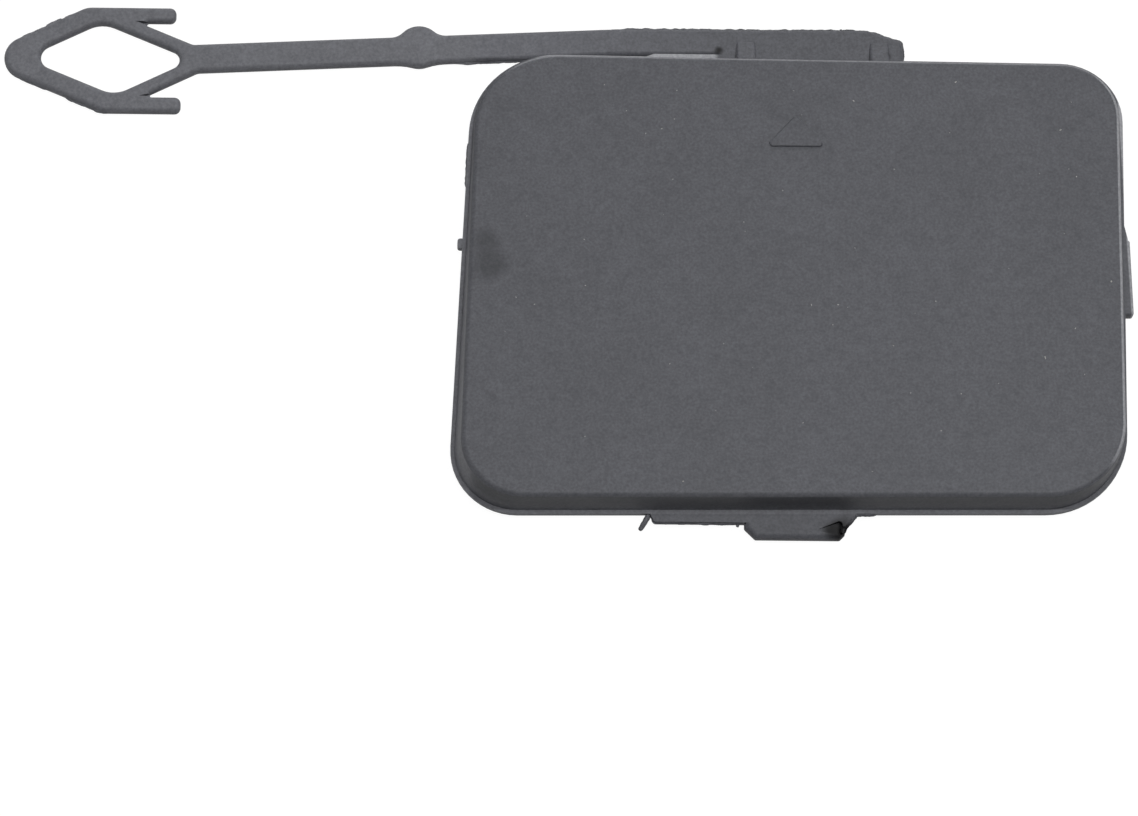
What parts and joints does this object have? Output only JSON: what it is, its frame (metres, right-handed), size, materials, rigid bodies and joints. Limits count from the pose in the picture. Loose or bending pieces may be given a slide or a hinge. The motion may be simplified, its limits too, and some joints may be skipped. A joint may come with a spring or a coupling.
{
  "type": "tow hook cover",
  "caption": "Rectangular plastic cover for a bumper's tow hook opening, with a snap tongue, clips and a flat retaining strap that ends in a barbed diamond anchor.",
  "frame": {"origin": "under the middle of the cap, on the plane of its rear collar's rim", "axes": "+X along the strap from its anchor towards the cap, +Y up the cap's face, +Z out of the face"},
  "size_m": [0.1279, 0.0629, 0.006],
  "materials": {
    "moulded_polypropylene": "unpainted dark grey polypropylene, moulded against a finely spark-eroded cavity"
  },
  "bodies": {
    "root": {"tow_hook_cover": "moulded_polypropylene"}
  },
  "joints": []
}
